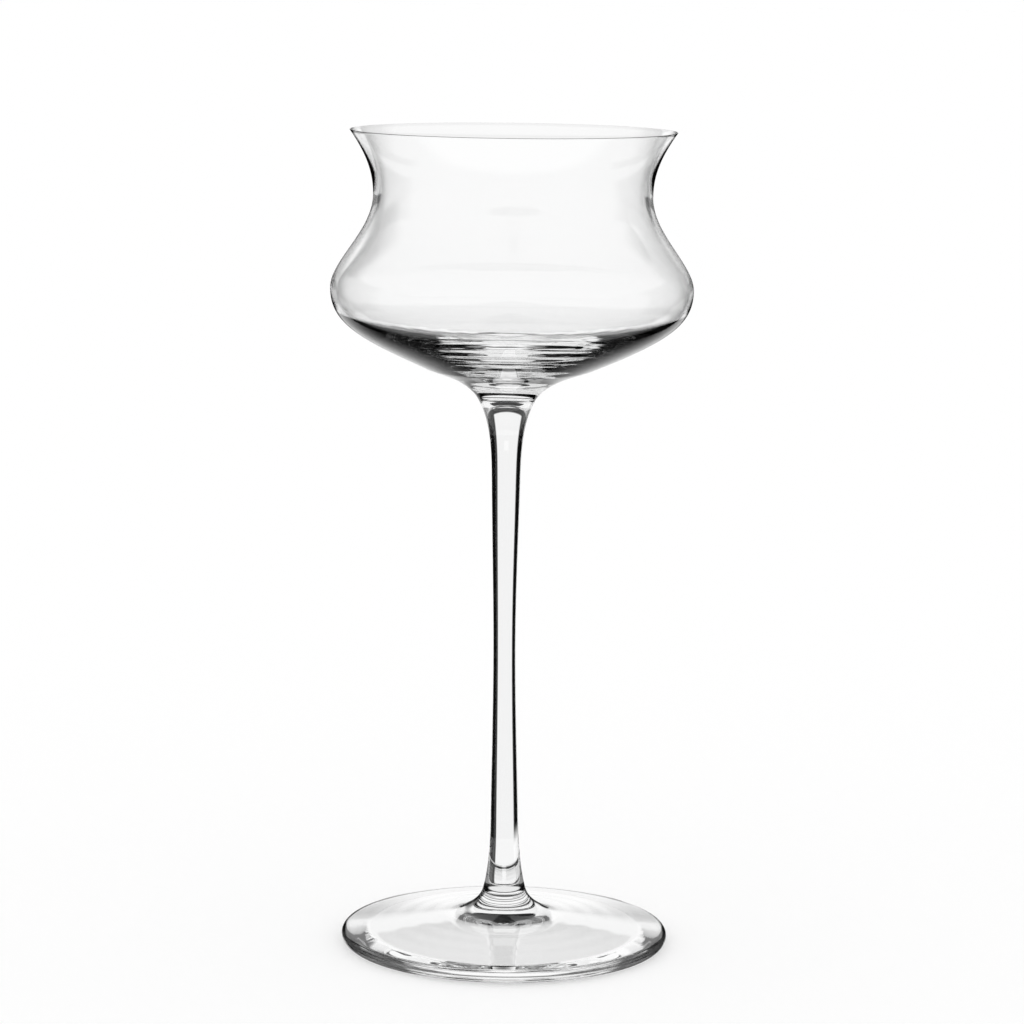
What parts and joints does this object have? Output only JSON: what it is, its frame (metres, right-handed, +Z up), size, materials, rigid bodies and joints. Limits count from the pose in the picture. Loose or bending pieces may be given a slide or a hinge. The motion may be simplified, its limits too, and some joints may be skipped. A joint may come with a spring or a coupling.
{
  "type": "cocktail glass",
  "caption": "Clear blown cocktail glass with a waisted bowl and flared rim on a long slim drawn stem and a round foot.",
  "frame": {"origin": "centre of the foot's standing ring, on the table", "axes": "+Z up along the axis of the glass, X and Y across it; the glass is a turned form and has no front"},
  "size_m": [0.09, 0.09, 0.205],
  "materials": {
    "bowl_glass": "clear, fire polished",
    "stem_glass": "clear, drawn",
    "foot_glass": "clear, fire polished"
  },
  "bodies": {
    "root": {"bowl": "bowl_glass", "stem": "stem_glass", "foot": "foot_glass"}
  },
  "joints": []
}
